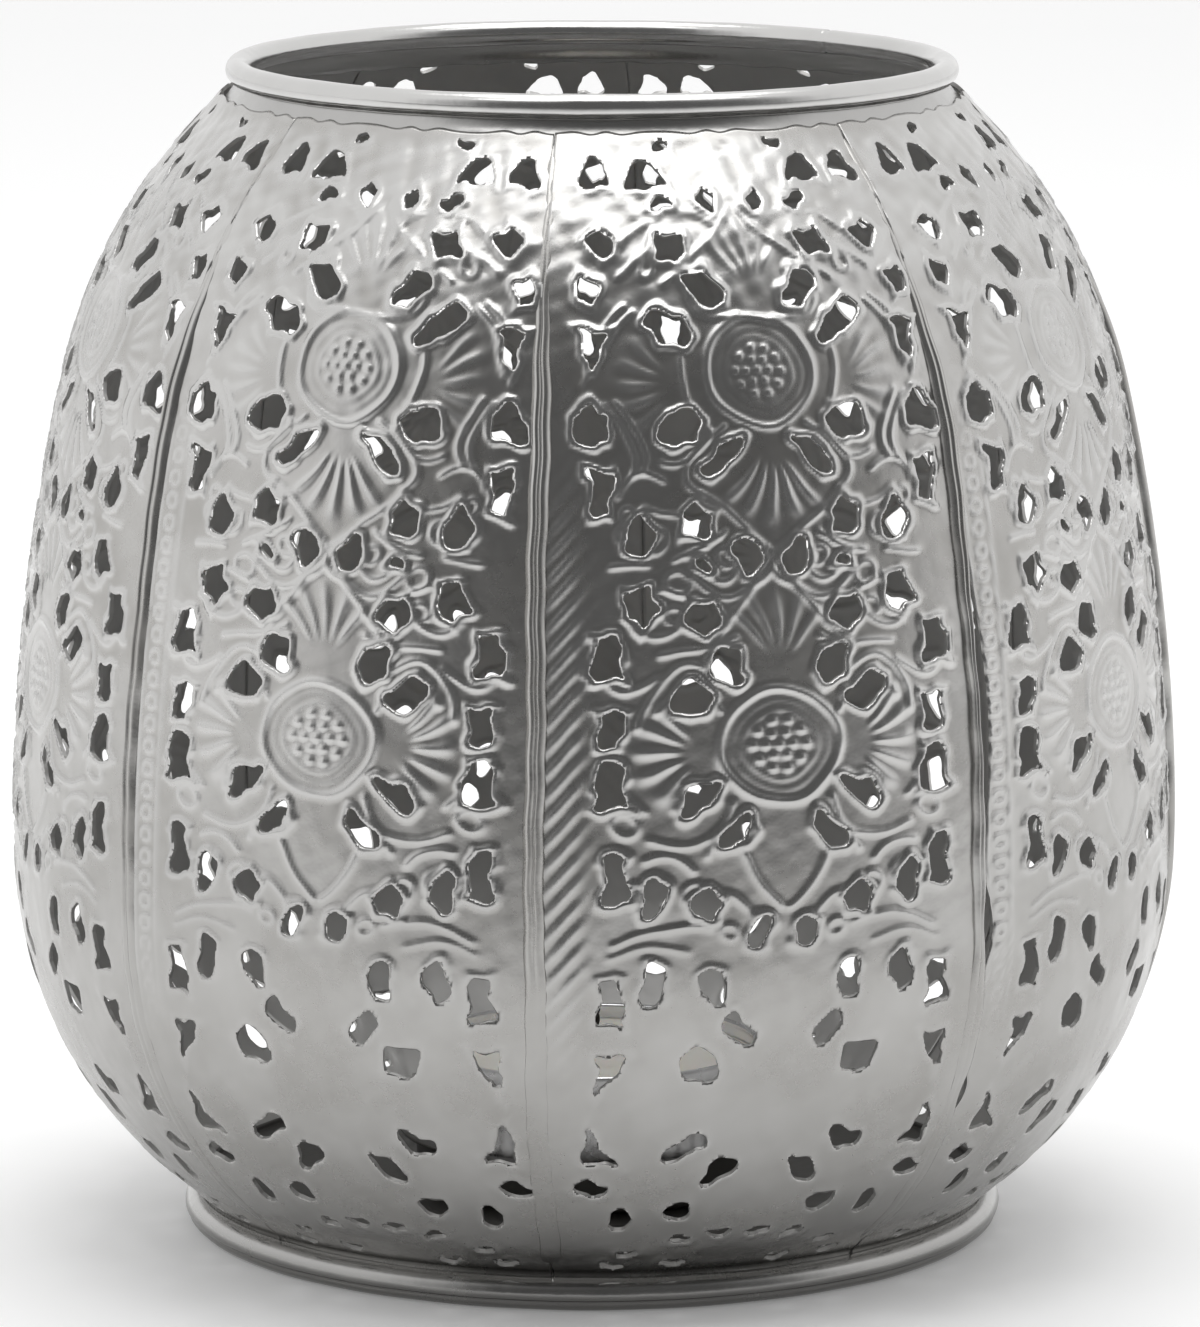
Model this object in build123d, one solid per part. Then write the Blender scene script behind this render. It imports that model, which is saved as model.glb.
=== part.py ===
from build123d import *
import math
import os

# Pierced sheet-metal candle lantern with its tealight, in millimetres.
# Frame: +Z up, origin on the table under the middle of the foot. Panel 1 faces -Y.
# Eight stamped panels make the wall. The hem on each one's right edge laps over the next.
# Their necks stand in a rolled foot hoop, and their tops are held by a collar that is
# rolled into the rim hoop. A plate closes the bottom, and a pan riveted to it holds the tealight.

# ---- overall sizes ----
HEIGHT = 131.2              # table to the top of the rim hoop
BELLY_R = 65.0              # outside radius where the lantern is widest
BELLY_Z = 42.5              # height of that place
SIDE_ARC = 243.0            # radius of the slow curve above the belly
SHOULDER_Z = 96.0           # height where the tighter shoulder curve starts
RIM_R = 39.1                # centreline radius of the rim hoop
FOOT_R = 44.15              # centreline radius of the foot hoop

# ---- panels ----
PANELS = 8
SHEET = 0.5                 # panel thickness
NECK = 1.6                  # upright stretch at a panel's bottom
TOP_EDGE_OUT = 1.8          # panel's top edge, outwards from the rim hoop's centreline
TOP_EDGE_DOWN = 2.3         # and down from it
SEAM_GAP = 0.1              # between one panel's edge and the next, at the belly
SEAM_SHIFT = 1.2            # degrees that each seam stands nearer to the pattern on its left
HEM_RISE = 0.55             # how far the hem stands out of the panel
HEM_ON = 0.9                # width of the hem on its own panel
HEM_OVER = 1.3              # and over the next one
HEM_END = 1.5               # bare stretch at each end of the hem

# ---- hoops, wires and collar ----
RIM_TUBE = 1.45             # outside radius of the rim hoop's rolled section
FOOT_TUBE = 1.9             # and of the foot hoop's
HOOP_WALL = 0.45
FOOT_FLAT = 0.05            # how much the foot hoop is flattened where it stands
WIRE_R = 0.6                # wire inside each hoop
COLLAR_SHEET = 0.4
COLLAR_FLARE = 1.0          # length of collar that lies inside the panels' tops
FIT = 0.04                  # clearance between pieces that grip each other

# ---- base plate, candle pan and rivet ----
PLATE = 0.6
PLATE_FLANGE = 1.2          # height of the plate's turned-up edge
PAN_SHEET = 0.4
PAN_DEPTH = 5.6
PAN_LIP = 2.0
RIVET_R = 1.5
RIVET_HEAD_R = 2.8
RIVET_HEAD = 0.6

# ---- tealight ----
LIGHT_R = 19.0              # outside radius of the tealight's case
LIGHT_CLEAR = 0.4           # between the case and the pan's wall
STAND_CLEAR = 0.05          # between the case and the pan's floor
CASE_HEIGHT = 15.0
CASE_WALL = 0.3
CASE_RING = 3.0             # width of the ring that the case stands on
CASE_RECESS = 1.0           # how far the middle of its bottom is pushed up
WAX_TOP = 13.4              # above the case's underside
WAX_CLEAR = 0.04
TAB_R = 7.0
TAB_SHEET = 0.3
TAB_NECK_R = 1.6
TAB_NECK = 4.0
WICK_R = 1.0
WICK_OUT = 6.5              # wick that shows above the wax

# ---- punches ----
PUNCH_REACH = 1.5           # how far a punch goes either side of the panel's outside
DIE_HEIGHT = 131.2          # lantern height that the punching pattern is drawn for

# Outlines in a box from -1 to 1 both ways: x points away from the panel's middle, y points up.
OUTLINES = {
    "triangle": [(-1, -1), (1, -1), (0.1, 1)],
    "spike": [(-1, -1), (1, -1), (0.9, 1)],
    "trapezoid": [(-1, -1), (1, -1), (0.7, 1), (-0.6, 1)],
    "diamond": [(0, -1), (1, 0), (0, 1), (-1, 0)],
    "kite": [(-0.4, -1), (1, -0.5), (0.5, 1), (-1, 0.5)],
    "pentagon": [(-0.7, -1), (0.7, -1), (1, 0.1), (0, 1), (-1, 0.1)],
    "oval": None,
}
# Punched holes of half a panel: outline, angle from the panel's middle, height of the
# hole's middle, width, height along the sheet (negative: point down), tilt in degrees.
HOLES = [
    ("oval", 8.3, 126.2, 2.2, 1.2, 0),
    ("trapezoid", 11.0, 123.5, 4.2, 3.4, 0),
    ("trapezoid", 18.0, 123.5, 3.2, 3.4, 0),
    ("diamond", 3.2, 120.8, 2.4, 3.0, 0),
    ("oval", 9.0, 120.4, 2.6, 1.5, 0),
    ("kite", 9.3, 116.1, 3.8, 3.7, 0),
    ("diamond", 16.8, 117.0, 3.2, 4.0, 0),
    ("kite", 19.0, 112.2, 2.2, 3.8, 0),
    ("oval", 5.7, 111.9, 5.5, 2.6, 41),
    ("oval", 9.8, 108.4, 6.0, 2.5, 33),
    ("triangle", 18.3, 106.0, 3.2, -4.8, 0),
    ("pentagon", 18.2, 98.7, 4.0, 4.3, 0),
    ("oval", 9.3, 98.6, 4.5, 3.5, -30),
    ("oval", 5.0, 95.2, 5.5, 2.0, -42),
    ("trapezoid", 17.6, 91.6, 2.4, -4.6, 0),
    ("pentagon", 7.6, 88.9, 3.7, 3.8, 0),
    ("pentagon", 13.5, 87.9, 3.3, 4.3, 0),
    ("oval", 2.5, 85.0, 2.7, 3.6, 0),
    ("oval", 7.2, 83.8, 1.6, 1.2, 0),
    ("pentagon", 13.4, 79.9, 3.3, -4.1, 0),
    ("pentagon", 7.6, 78.2, 3.6, -3.7, 0),
    ("trapezoid", 16.8, 75.0, 3.2, 4.6, 0),
    ("oval", 5.4, 73.6, 4.6, 3.0, 55),
    ("oval", 8.6, 70.4, 4.6, 3.0, 25),
    ("trapezoid", 16.4, 67.2, 3.0, -4.0, 0),
    ("trapezoid", 16.2, 61.2, 3.6, 4.6, 0),
    ("oval", 8.3, 60.2, 5.2, 2.3, -34),
    ("oval", 4.8, 56.1, 5.0, 2.2, -43),
    ("trapezoid", 16.2, 51.7, 2.7, 5.0, 0),
    ("oval", 12.6, 49.7, 2.6, 4.2, 0),
    ("pentagon", 7.3, 48.7, 3.5, 3.5, 0),
    ("oval", 2.2, 45.7, 2.2, 3.6, 0),
    ("oval", 12.4, 40.2, 2.6, 4.5, 0),
    ("oval", 6.9, 39.7, 2.7, 4.0, 0),
    ("trapezoid", 16.3, 38.5, 2.8, 5.3, 0),
    ("oval", 4.5, 34.7, 4.6, 2.4, 45),
    ("oval", 7.9, 31.1, 4.8, 3.4, 30),
    ("spike", 16.5, 29.9, 3.6, -5.4, 0),
    ("spike", 17.0, 21.5, 3.8, 5.2, 0),
    ("oval", 8.8, 21.4, 5.4, 2.6, -30),
    ("oval", 5.0, 17.9, 5.2, 2.4, -50),
    ("diamond", 18.4, 16.2, 3.8, 3.4, 0),
    ("oval", 8.5, 12.7, 3.4, 3.3, 0),
    ("oval", 15.2, 12.1, 2.9, 3.7, 0),
    ("oval", 2.4, 9.7, 2.8, 1.5, 0),
    ("oval", 7.2, 8.7, 2.8, 1.5, 0),
    ("oval", 13.2, 7.0, 2.6, 1.3, 0),
    ("oval", 7.6, 5.3, 2.6, 1.1, 0),
    ("oval", 15.4, 5.3, 2.4, 1.1, 0),
]


# ------------------------------------------------------------------ profile of the panels
RIM_Z = HEIGHT - RIM_TUBE
FOOT_Z = FOOT_TUBE - FOOT_FLAT
NECK_R = FOOT_R + SHEET / 2                      # outside of the upright neck
NECK_LOW = FOOT_Z + WIRE_R + FIT
BEND_Z = NECK_LOW + NECK                         # where the neck bends into the wall


def wall_arcs():
    """Centre r, centre z, radius, first and last angle of the wall's three tangent arcs."""
    dr, dz = BELLY_R - NECK_R, BELLY_Z - BEND_Z
    low = (dr * dr + dz * dz) / (2 * dr)
    lean = math.asin((SHOULDER_Z - BELLY_Z) / SIDE_ARC)
    start_r = BELLY_R - SIDE_ARC + SIDE_ARC * math.cos(lean)
    end_r, end_z = RIM_R + TOP_EDGE_OUT, RIM_Z - TOP_EDGE_DOWN
    dr, dz_top = end_r - start_r, end_z - SHOULDER_Z
    top = -(dr * dr + dz_top * dz_top) / (2 * (dr * math.cos(lean) + dz_top * math.sin(lean)))
    top_r, top_z = start_r - top * math.cos(lean), SHOULDER_Z - top * math.sin(lean)
    return [
        (BELLY_R - low, BELLY_Z, low, -math.asin(dz / low), 0.0),
        (BELLY_R - SIDE_ARC, BELLY_Z, SIDE_ARC, 0.0, lean),
        (top_r, top_z, top, lean, math.atan2(end_z - top_z, end_r - top_r)),
    ]


ARCS = wall_arcs()


def wall_at(z):
    """Radius and lean of the wall's outside at a height."""
    for cr, cz, radius, _, last in ARCS:
        if z <= cz + radius * math.sin(last) or last == ARCS[-1][4]:
            lean = math.asin((z - cz) / radius)
            return cr + radius * math.cos(lean), lean


def wall_edges(offset, low=0.0, high=0.0):
    """The wall's arcs moved out by an offset, shortened at each end by an arc length."""
    edges = []
    for i, (cr, cz, radius, first, last) in enumerate(ARCS):
        first += low / radius if i == 0 else 0
        last -= high / radius if i == len(ARCS) - 1 else 0
        r = radius + offset
        points = [(cr + r * math.cos(a), 0, cz + r * math.sin(a)) for a in (first, (first + last) / 2, last)]
        edges.append(ThreePointArc(*points))
    return edges


def closed_face(outer, inner):
    """Face between two runs of edges that both go up."""
    ends = [Line(outer[-1] @ 1, inner[-1] @ 1), Line(inner[0] @ 0, outer[0] @ 0)]
    return make_face([*outer, *inner, *ends])


def necked_edges(offset):
    """The wall's arcs moved out by an offset, with the upright neck below them."""
    cr, cz, radius, _, _ = ARCS[0]
    r = radius + offset
    neck_r = NECK_R + offset
    bend = -math.acos((neck_r - cr) / r)
    points = [(cr + r * math.cos(a), 0, cz + r * math.sin(a)) for a in (bend, bend / 2, 0)]
    neck = Line((neck_r, 0, NECK_LOW), points[0])
    return [neck, ThreePointArc(*points), *wall_edges(offset)[1:]]


def swept(face, first, last):
    """A section turned about Z between two angles, counted from -Y towards +X."""
    solid = revolve(face, Axis.Z, last - first)
    return Rot(0, 0, first - 90) * solid


def degrees_at_belly(length):
    """Turn that covers an arc length round the wall's widest place."""
    return math.degrees(length / BELLY_R)


def punch(outline, angle, z, width, height, tilt, side):
    """One punch, square to the wall, on the left (side -1) or right (side 1) half of a panel."""
    r, lean = wall_at(z * HEIGHT / DIE_HEIGHT)
    turn = math.radians(side * angle)
    out = (math.cos(lean) * math.sin(turn), -math.cos(lean) * math.cos(turn), math.sin(lean))
    place = Plane(
        origin=(r * math.sin(turn), -r * math.cos(turn), z * HEIGHT / DIE_HEIGHT),
        x_dir=(math.cos(turn), math.sin(turn), 0),
        z_dir=out,
    )
    if OUTLINES[outline] is None:
        face = Ellipse(width / 2, height / 2)
    else:
        face = Polygon(*[(side * x * width / 2, y * height / 2) for x, y in OUTLINES[outline]], align=None)
    return extrude(place * Rot(0, 0, side * tilt) * face, amount=PUNCH_REACH, both=True)


# ------------------------------------------------------------------ wall
def wall_panel():
    """One stamped panel facing -Y: necked sheet, punched, with the lapping hem on its right edge."""
    half = 180 / PANELS
    gap = degrees_at_belly(SEAM_GAP / 2)
    left, right = -half - SEAM_SHIFT + gap, half - SEAM_SHIFT - gap
    sheet = swept(closed_face(necked_edges(0), necked_edges(-SHEET)), left, right)
    holes = [punch(*hole, side) for hole in HOLES for side in (-1, 1)]
    root = closed_face(wall_edges(HEM_RISE, HEM_END, HEM_END), wall_edges(-SHEET / 2, HEM_END, HEM_END))
    lap = closed_face(wall_edges(HEM_RISE, HEM_END, HEM_END), wall_edges(FIT, HEM_END, HEM_END))
    hem_on = swept(root, right - degrees_at_belly(HEM_ON), right)
    hem_over = swept(lap, right, right + 2 * gap + degrees_at_belly(HEM_OVER))
    return (sheet - holes) + hem_on + hem_over


# ------------------------------------------------------------------ hoops, wires and collar
def ring(centre_r, centre_z, section_r):
    face = Plane.XZ * Pos(centre_r, centre_z) * Circle(section_r)
    return revolve(face, Axis.Z, 360)


def band(r_in, r_out, z_low, z_high):
    """A ring with a rectangular section."""
    face = Plane.XZ * Pos((r_in + r_out) / 2, (z_low + z_high) / 2) * Rectangle(r_out - r_in, z_high - z_low)
    return revolve(face, Axis.Z, 360)


def hoop(centre_r, centre_z, tube):
    """Rolled tube, still without the slot that grips the sheet."""
    return ring(centre_r, centre_z, tube) - ring(centre_r, centre_z, tube - HOOP_WALL)


def rim_hoop():
    half = COLLAR_SHEET / 2 + FIT
    slot = band(RIM_R - half, RIM_R + half, RIM_Z - 2 * RIM_TUBE, RIM_Z)
    return hoop(RIM_R, RIM_Z, RIM_TUBE) - slot


def foot_hoop():
    half = SHEET / 2 + FIT
    slot = band(FOOT_R - half, FOOT_R + half, FOOT_Z, FOOT_Z + 2 * FOOT_TUBE)
    below = band(FOOT_R - 2 * FOOT_TUBE, FOOT_R + 2 * FOOT_TUBE, -FOOT_TUBE, 0)
    return hoop(FOOT_R, FOOT_Z, FOOT_TUBE) - slot - below


def neck_collar():
    """Upright in the rim hoop, a cone below it, then flared along the inside of the panels' tops."""
    cr, cz, radius, _, last = ARCS[-1]
    low = last - COLLAR_FLARE / radius

    def run(depth, upright_r):
        r = radius - SHEET - FIT - depth
        points = [(cr + r * math.cos(a), 0, cz + r * math.sin(a)) for a in (low, (low + last) / 2, last)]
        foot = (upright_r, 0, RIM_Z - RIM_TUBE - FIT)
        top = (upright_r, 0, RIM_Z - WIRE_R - FIT)
        return [ThreePointArc(*points), Line(points[2], foot), Line(foot, top)]

    outer = run(0, RIM_R + COLLAR_SHEET / 2)
    inner = run(COLLAR_SHEET, RIM_R - COLLAR_SHEET / 2)
    return revolve(closed_face(outer, inner), Axis.Z, 360)


# ------------------------------------------------------------------ bottom
PLATE_Z = FOOT_Z + FOOT_TUBE + FIT               # underside of the base plate, on the foot hoop
PLATE_R = NECK_R - SHEET - FIT
PAN_Z = PLATE_Z + PLATE                          # underside of the candle pan
PAN_R = LIGHT_R + LIGHT_CLEAR                    # inside radius of the pan
LIGHT_Z = PAN_Z + PAN_SHEET + STAND_CLEAR        # underside of the tealight


def disc(radius, z_low, z_high):
    return Pos(0, 0, (z_low + z_high) / 2) * Cylinder(radius, z_high - z_low)


def base_plate():
    flange = band(PLATE_R - PLATE, PLATE_R, PLATE_Z, PLATE_Z + PLATE_FLANGE)
    return disc(PLATE_R, PLATE_Z, PLATE_Z + PLATE) + flange - disc(RIVET_R + FIT, 0, PAN_Z + PLATE)


def candle_pan():
    floor = disc(PAN_R + PAN_SHEET, PAN_Z, PAN_Z + PAN_SHEET)
    rim_z = PAN_Z + PAN_SHEET + PAN_DEPTH
    wall = band(PAN_R, PAN_R + PAN_SHEET, PAN_Z, rim_z)
    lip = band(PAN_R, PAN_R + PAN_SHEET + PAN_LIP, rim_z - PAN_SHEET, rim_z)
    return floor + wall + lip - disc(RIVET_R + FIT, 0, PAN_Z + PLATE)


def pan_rivet():
    """Shank through pan and plate, with a head inside the pan and a set tail underneath."""
    top = PAN_Z + PAN_SHEET
    tail = disc(RIVET_HEAD_R, PLATE_Z - RIVET_HEAD, PLATE_Z)
    return disc(RIVET_R, PLATE_Z, top) + disc(RIVET_HEAD_R, top, top + RIVET_HEAD) + tail


# ------------------------------------------------------------------ tealight
def tealight_case():
    """Drawn cup that stands on a ring, its bottom pushed up inside the ring."""
    outer = disc(LIGHT_R, LIGHT_Z, LIGHT_Z + CASE_HEIGHT)
    ring_in = LIGHT_R - CASE_RING
    hollow = disc(LIGHT_R - CASE_WALL, LIGHT_Z + CASE_WALL, LIGHT_Z + CASE_HEIGHT)
    raised = disc(ring_in + CASE_WALL, LIGHT_Z, LIGHT_Z + CASE_RECESS + CASE_WALL)
    return outer - (hollow - raised) - disc(ring_in, LIGHT_Z, LIGHT_Z + CASE_RECESS)


TAB_Z = LIGHT_Z + CASE_RECESS + CASE_WALL        # underside of the wick tab


def wick_tab():
    tab = disc(TAB_R, TAB_Z, TAB_Z + TAB_SHEET) + disc(TAB_NECK_R, TAB_Z, TAB_Z + TAB_NECK)
    return tab - disc(WICK_R + FIT, TAB_Z + TAB_SHEET, TAB_Z + TAB_NECK)


def wick():
    low, high = TAB_Z + TAB_SHEET + FIT, LIGHT_Z + WAX_TOP + WICK_OUT
    return disc(WICK_R, low, high)


def wax():
    """The case's inside, less the tab and the wick."""
    top = LIGHT_Z + WAX_TOP
    cast = disc(LIGHT_R - CASE_WALL - WAX_CLEAR, LIGHT_Z + CASE_WALL + WAX_CLEAR, top)
    raised = disc(LIGHT_R - CASE_RING + CASE_WALL + WAX_CLEAR, LIGHT_Z, TAB_Z + WAX_CLEAR)
    tab = disc(TAB_R + WAX_CLEAR, TAB_Z, TAB_Z + TAB_SHEET + WAX_CLEAR)
    neck = disc(TAB_NECK_R + WAX_CLEAR, TAB_Z, TAB_Z + TAB_NECK + WAX_CLEAR)
    return cast - raised - tab - neck - disc(WICK_R + WAX_CLEAR, TAB_Z, top)


def main():
    panel = wall_panel()
    pieces = {f"wall_panel_{i + 1}": Rot(0, 0, i * 360 / PANELS) * panel for i in range(PANELS)}
    pieces["rim_hoop"] = rim_hoop()
    pieces["rim_wire"] = ring(RIM_R, RIM_Z, WIRE_R)
    pieces["neck_collar"] = neck_collar()
    pieces["foot_hoop"] = foot_hoop()
    pieces["foot_wire"] = ring(FOOT_R, FOOT_Z, WIRE_R)
    pieces["base_plate"] = base_plate()
    pieces["candle_pan"] = candle_pan()
    pieces["pan_rivet"] = pan_rivet()
    pieces["tealight_case"] = tealight_case()
    pieces["tealight_wax"] = wax()
    pieces["wick_tab"] = wick_tab()
    pieces["wick"] = wick()
    os.makedirs("parts", exist_ok=True)
    for name, shape in pieces.items():
        export_step(shape, f"parts/{name}.step")


main()
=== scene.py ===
import bpy
import math
import numpy as np
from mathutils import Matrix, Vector


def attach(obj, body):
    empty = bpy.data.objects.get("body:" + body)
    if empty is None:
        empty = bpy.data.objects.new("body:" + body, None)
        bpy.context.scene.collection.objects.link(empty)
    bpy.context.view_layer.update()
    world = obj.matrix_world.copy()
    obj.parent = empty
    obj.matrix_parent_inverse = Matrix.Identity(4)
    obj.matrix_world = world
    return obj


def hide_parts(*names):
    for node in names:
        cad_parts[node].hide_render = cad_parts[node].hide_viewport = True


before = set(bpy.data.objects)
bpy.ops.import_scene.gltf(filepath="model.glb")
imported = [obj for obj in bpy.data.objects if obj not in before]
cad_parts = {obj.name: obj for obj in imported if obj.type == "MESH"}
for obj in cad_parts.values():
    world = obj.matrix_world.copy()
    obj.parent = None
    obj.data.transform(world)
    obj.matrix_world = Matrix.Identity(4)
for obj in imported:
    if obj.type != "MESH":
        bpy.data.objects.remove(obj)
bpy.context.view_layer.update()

MM = 0.001

# ------------------------------------------------------------------ the lantern's own sizes, mm
HEIGHT = 131.2
BELLY_R, BELLY_Z, SIDE_ARC, SHOULDER_Z = 65.0, 42.5, 243.0, 96.0
RIM_R, FOOT_R = 39.1, 44.15
PANELS, SHEET, NECK = 8, 0.5, 1.6
TOP_EDGE_OUT, TOP_EDGE_DOWN = 1.8, 2.3
SEAM_GAP, SEAM_SHIFT = 0.1, 1.2
HEM_RISE, HEM_ON, HEM_OVER, HEM_END = 0.55, 0.9, 1.3, 1.5
RIM_TUBE, FOOT_TUBE, HOOP_WALL, FOOT_FLAT, WIRE_R, FIT = 1.45, 1.9, 0.45, 0.05, 0.6, 0.04
COLLAR_SHEET, COLLAR_FLARE = 0.4, 1.0
PLATE, PLATE_FLANGE = 0.6, 1.2
PAN_SHEET, PAN_DEPTH, PAN_LIP = 0.4, 5.6, 2.0
RIVET_HEAD_R, RIVET_HEAD = 2.8, 0.6
LIGHT_R, LIGHT_CLEAR, STAND_CLEAR = 19.0, 0.4, 0.05
CASE_HEIGHT, CASE_WALL, CASE_RING, CASE_RECESS = 15.0, 0.3, 3.0, 1.0
WAX_TOP, WICK_R, WICK_OUT = 13.4, 1.0, 6.5

RIM_Z = HEIGHT - RIM_TUBE
FOOT_Z = FOOT_TUBE - FOOT_FLAT
NECK_R = FOOT_R + SHEET / 2
NECK_LOW = FOOT_Z + WIRE_R + FIT
BEND_Z = NECK_LOW + NECK
PLATE_Z = FOOT_Z + FOOT_TUBE + FIT
PLATE_R = NECK_R - SHEET - FIT
PAN_Z = PLATE_Z + PLATE
PAN_R = LIGHT_R + LIGHT_CLEAR
LIGHT_Z = PAN_Z + PAN_SHEET + STAND_CLEAR


# ------------------------------------------------------------------ camera, floor and light
CAMERA_TURN = math.radians(-18.2)       # the camera stands this far round from -Y
CAMERA_AWAY, CAMERA_Z = 0.9028, 0.2259
CAMERA_DOWN = math.radians(10.233)
CAMERA_LENS, CAMERA_SHIFT = 222.4, 0.006


def make_camera():
    data = bpy.data.cameras.new("camera")
    data.lens = CAMERA_LENS
    data.shift_x = CAMERA_SHIFT
    camera = bpy.data.objects.new("camera", data)
    camera.location = (CAMERA_AWAY * math.sin(CAMERA_TURN), -CAMERA_AWAY * math.cos(CAMERA_TURN), CAMERA_Z)
    camera.rotation_euler = (math.pi / 2 - CAMERA_DOWN, 0, CAMERA_TURN)
    bpy.context.scene.collection.objects.link(camera)
    bpy.context.scene.camera = camera


class Nodes:
    """Short way to build a node tree."""

    def __init__(self, tree):
        self.tree = tree

    def add(self, kind, inputs=(), **settings):
        node = self.tree.nodes.new(kind)
        for name, value in settings.items():
            setattr(node, name, value)
        for socket, value in dict(inputs).items():
            self.put(node, socket, value)
        return node

    def put(self, node, socket, value):
        target = node.inputs[socket]
        if isinstance(value, bpy.types.NodeSocket):
            self.tree.links.new(value, target)
        else:
            target.default_value = value

    def math(self, operation, *values):
        return self.add("ShaderNodeMath", enumerate(values), operation=operation).outputs[0]

    def dot(self, first, second):
        node = self.add("ShaderNodeVectorMath", {0: first, 1: second}, operation="DOT_PRODUCT")
        return node.outputs["Value"]

    def ramp(self, value, *stops):
        node = self.add("ShaderNodeValToRGB", {"Fac": value})
        elements = node.color_ramp.elements
        while len(elements) < len(stops):
            elements.new(1)
        for element, (place, grey) in zip(elements, stops):
            element.position = place
            element.color = (grey, grey, grey, 1)
        return node.outputs[0]

    def mix(self, share, first, second):
        """Mix of two colours; each is a socket or three numbers."""
        colours = [c if isinstance(c, bpy.types.NodeSocket) else (*c, 1) for c in (first, second)]
        inputs = {0: share, 6: colours[0], 7: colours[1]}
        return self.add("ShaderNodeMix", inputs, data_type="RGBA").outputs[2]

    def noise(self, place, scale, detail):
        inputs = {"Vector": place, "Scale": scale, "Detail": detail}
        return self.add("ShaderNodeTexNoise", inputs).outputs["Fac"]

    def bump(self, height, strength, distance):
        inputs = {"Strength": strength, "Distance": distance, "Height": height}
        return self.add("ShaderNodeBump", inputs).outputs[0]


DARK_TURN = CAMERA_TURN + math.radians(9.5)   # middle of the studio's dark part, round from -Y
DARK_UP = math.radians(14)
# Light of the studio at cosines of the angle from the middle of its dark part.
STUDIO_LIGHT = [(0.40, 1.0), (0.58, 0.55), (0.72, 0.2), (0.84, 0.13)]

FLOOR_SIZE = 12.0
# Floor grey and painted glow, at m from the lantern towards the studio's dark part; the grey is painted shade
# far out.
FLOOR_GREY_AND_SHADE = [(0.16, 0.9), (0.45, 0.45), (0.9, 0.16)]
FLOOR_PAINTED_GLOW, FLOOR_PAINTED_GLOW_STRENGTH = [(0.16, 1.0), (0.45, 0.0)], 0.14
FLOOR_ROUGHNESS = 0.6

# Area lights: place in m, width and depth in m, power in W. The wide one lights the shoulder.
SHOULDER_TURN = CAMERA_TURN + math.radians(10)
SHOULDER_OUT, SHOULDER_UP = 0.36, 1.1
SHOULDER_PLACE = (SHOULDER_OUT * math.sin(SHOULDER_TURN), -SHOULDER_OUT * math.cos(SHOULDER_TURN), SHOULDER_UP)
LIGHTS = {
    "overhead": ((0.1, 0.15, 1.2), 0.9, 0.9, 4),
    "shoulder_light": (SHOULDER_PLACE, 1.3, 0.36, 1.9),
}
LIGHTS_AIM = Vector((0, 0, 0.06))


def make_world():
    """A white studio that is dark where the camera stands, which the polished metal mirrors."""
    world = bpy.data.worlds.new("studio")
    bpy.context.scene.world = world
    world.use_nodes = True
    n = Nodes(world.node_tree)
    n.tree.nodes.clear()
    direction = n.add("ShaderNodeTexCoord").outputs["Generated"]
    level = math.cos(DARK_UP)
    towards = (math.sin(DARK_TURN) * level, -math.cos(DARK_TURN) * level, math.sin(DARK_UP))
    facing = n.dot(direction, towards)
    background = n.add("ShaderNodeBackground", {"Color": n.ramp(facing, *STUDIO_LIGHT), "Strength": 1.0})
    out = n.add("ShaderNodeOutputWorld")
    n.put(out, "Surface", background.outputs[0])


def make_light(name, place, wide, deep, power):
    data = bpy.data.lights.new(name, "AREA")
    data.shape = "ELLIPSE"
    data.size = wide
    data.size_y = deep
    data.energy = power
    light = bpy.data.objects.new(name, data)
    light.location = place
    light.rotation_euler = (LIGHTS_AIM - Vector(place)).to_track_quat("-Z", "Y").to_euler()
    bpy.context.scene.collection.objects.link(light)


def plain_material(name, colour, roughness):
    material = bpy.data.materials.new(name)
    material.use_nodes = True
    shader = material.node_tree.nodes["Principled BSDF"]
    shader.inputs["Base Color"].default_value = (*colour, 1)
    shader.inputs["Roughness"].default_value = roughness
    return material


def make_floor_with_painted_light():
    """Pale floor with painted shade far out on the studio's dark side and a painted glow near the lantern."""
    material = plain_material("floor", (0.9, 0.9, 0.9), FLOOR_ROUGHNESS)
    n = Nodes(material.node_tree)
    shader = material.node_tree.nodes["Principled BSDF"]
    place = n.add("ShaderNodeTexCoord").outputs["Object"]
    towards = (math.sin(DARK_TURN), -math.cos(DARK_TURN), 0)
    out = n.dot(place, towards)
    # Painted shade: the floor darkens far out towards the studio's dark part, for the metal to mirror.
    n.put(shader, "Base Color", n.ramp(out, *FLOOR_GREY_AND_SHADE))
    # Painted light: the floor glows near the lantern, which softens the lantern's shadow.
    n.put(shader, "Emission Color", n.ramp(out, *FLOOR_PAINTED_GLOW))
    shader.inputs["Emission Strength"].default_value = FLOOR_PAINTED_GLOW_STRENGTH
    return material


def make_stage():
    bpy.ops.mesh.primitive_plane_add(size=FLOOR_SIZE)
    floor = bpy.context.object
    floor.name = "floor"
    floor.data.materials.append(make_floor_with_painted_light())
    for name, light in LIGHTS.items():
        make_light(name, *light)
    bpy.context.scene.view_settings.view_transform = "Standard"


# ------------------------------------------------------------------ mesh helpers
def mesh_piece(name, points, faces, materials):
    """A smooth shaded object from points in mm. A face may be any polygon."""
    mesh = bpy.data.meshes.new(name)
    mesh.from_pydata((np.asarray(points, float) * MM).tolist(), [], faces)
    mesh.validate()
    mesh.shade_smooth()
    for material in materials:
        mesh.materials.append(material)
    piece = bpy.data.objects.new(name, mesh)
    bpy.context.scene.collection.objects.link(piece)
    return piece


def step_up(x, at, soft):
    """From 0 to 1, softly, where x rises past a value."""
    return 1 / (1 + np.exp((at - x) / soft))


def step_down(x, at, soft):
    return 1 / (1 + np.exp((x - at) / soft))


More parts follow.
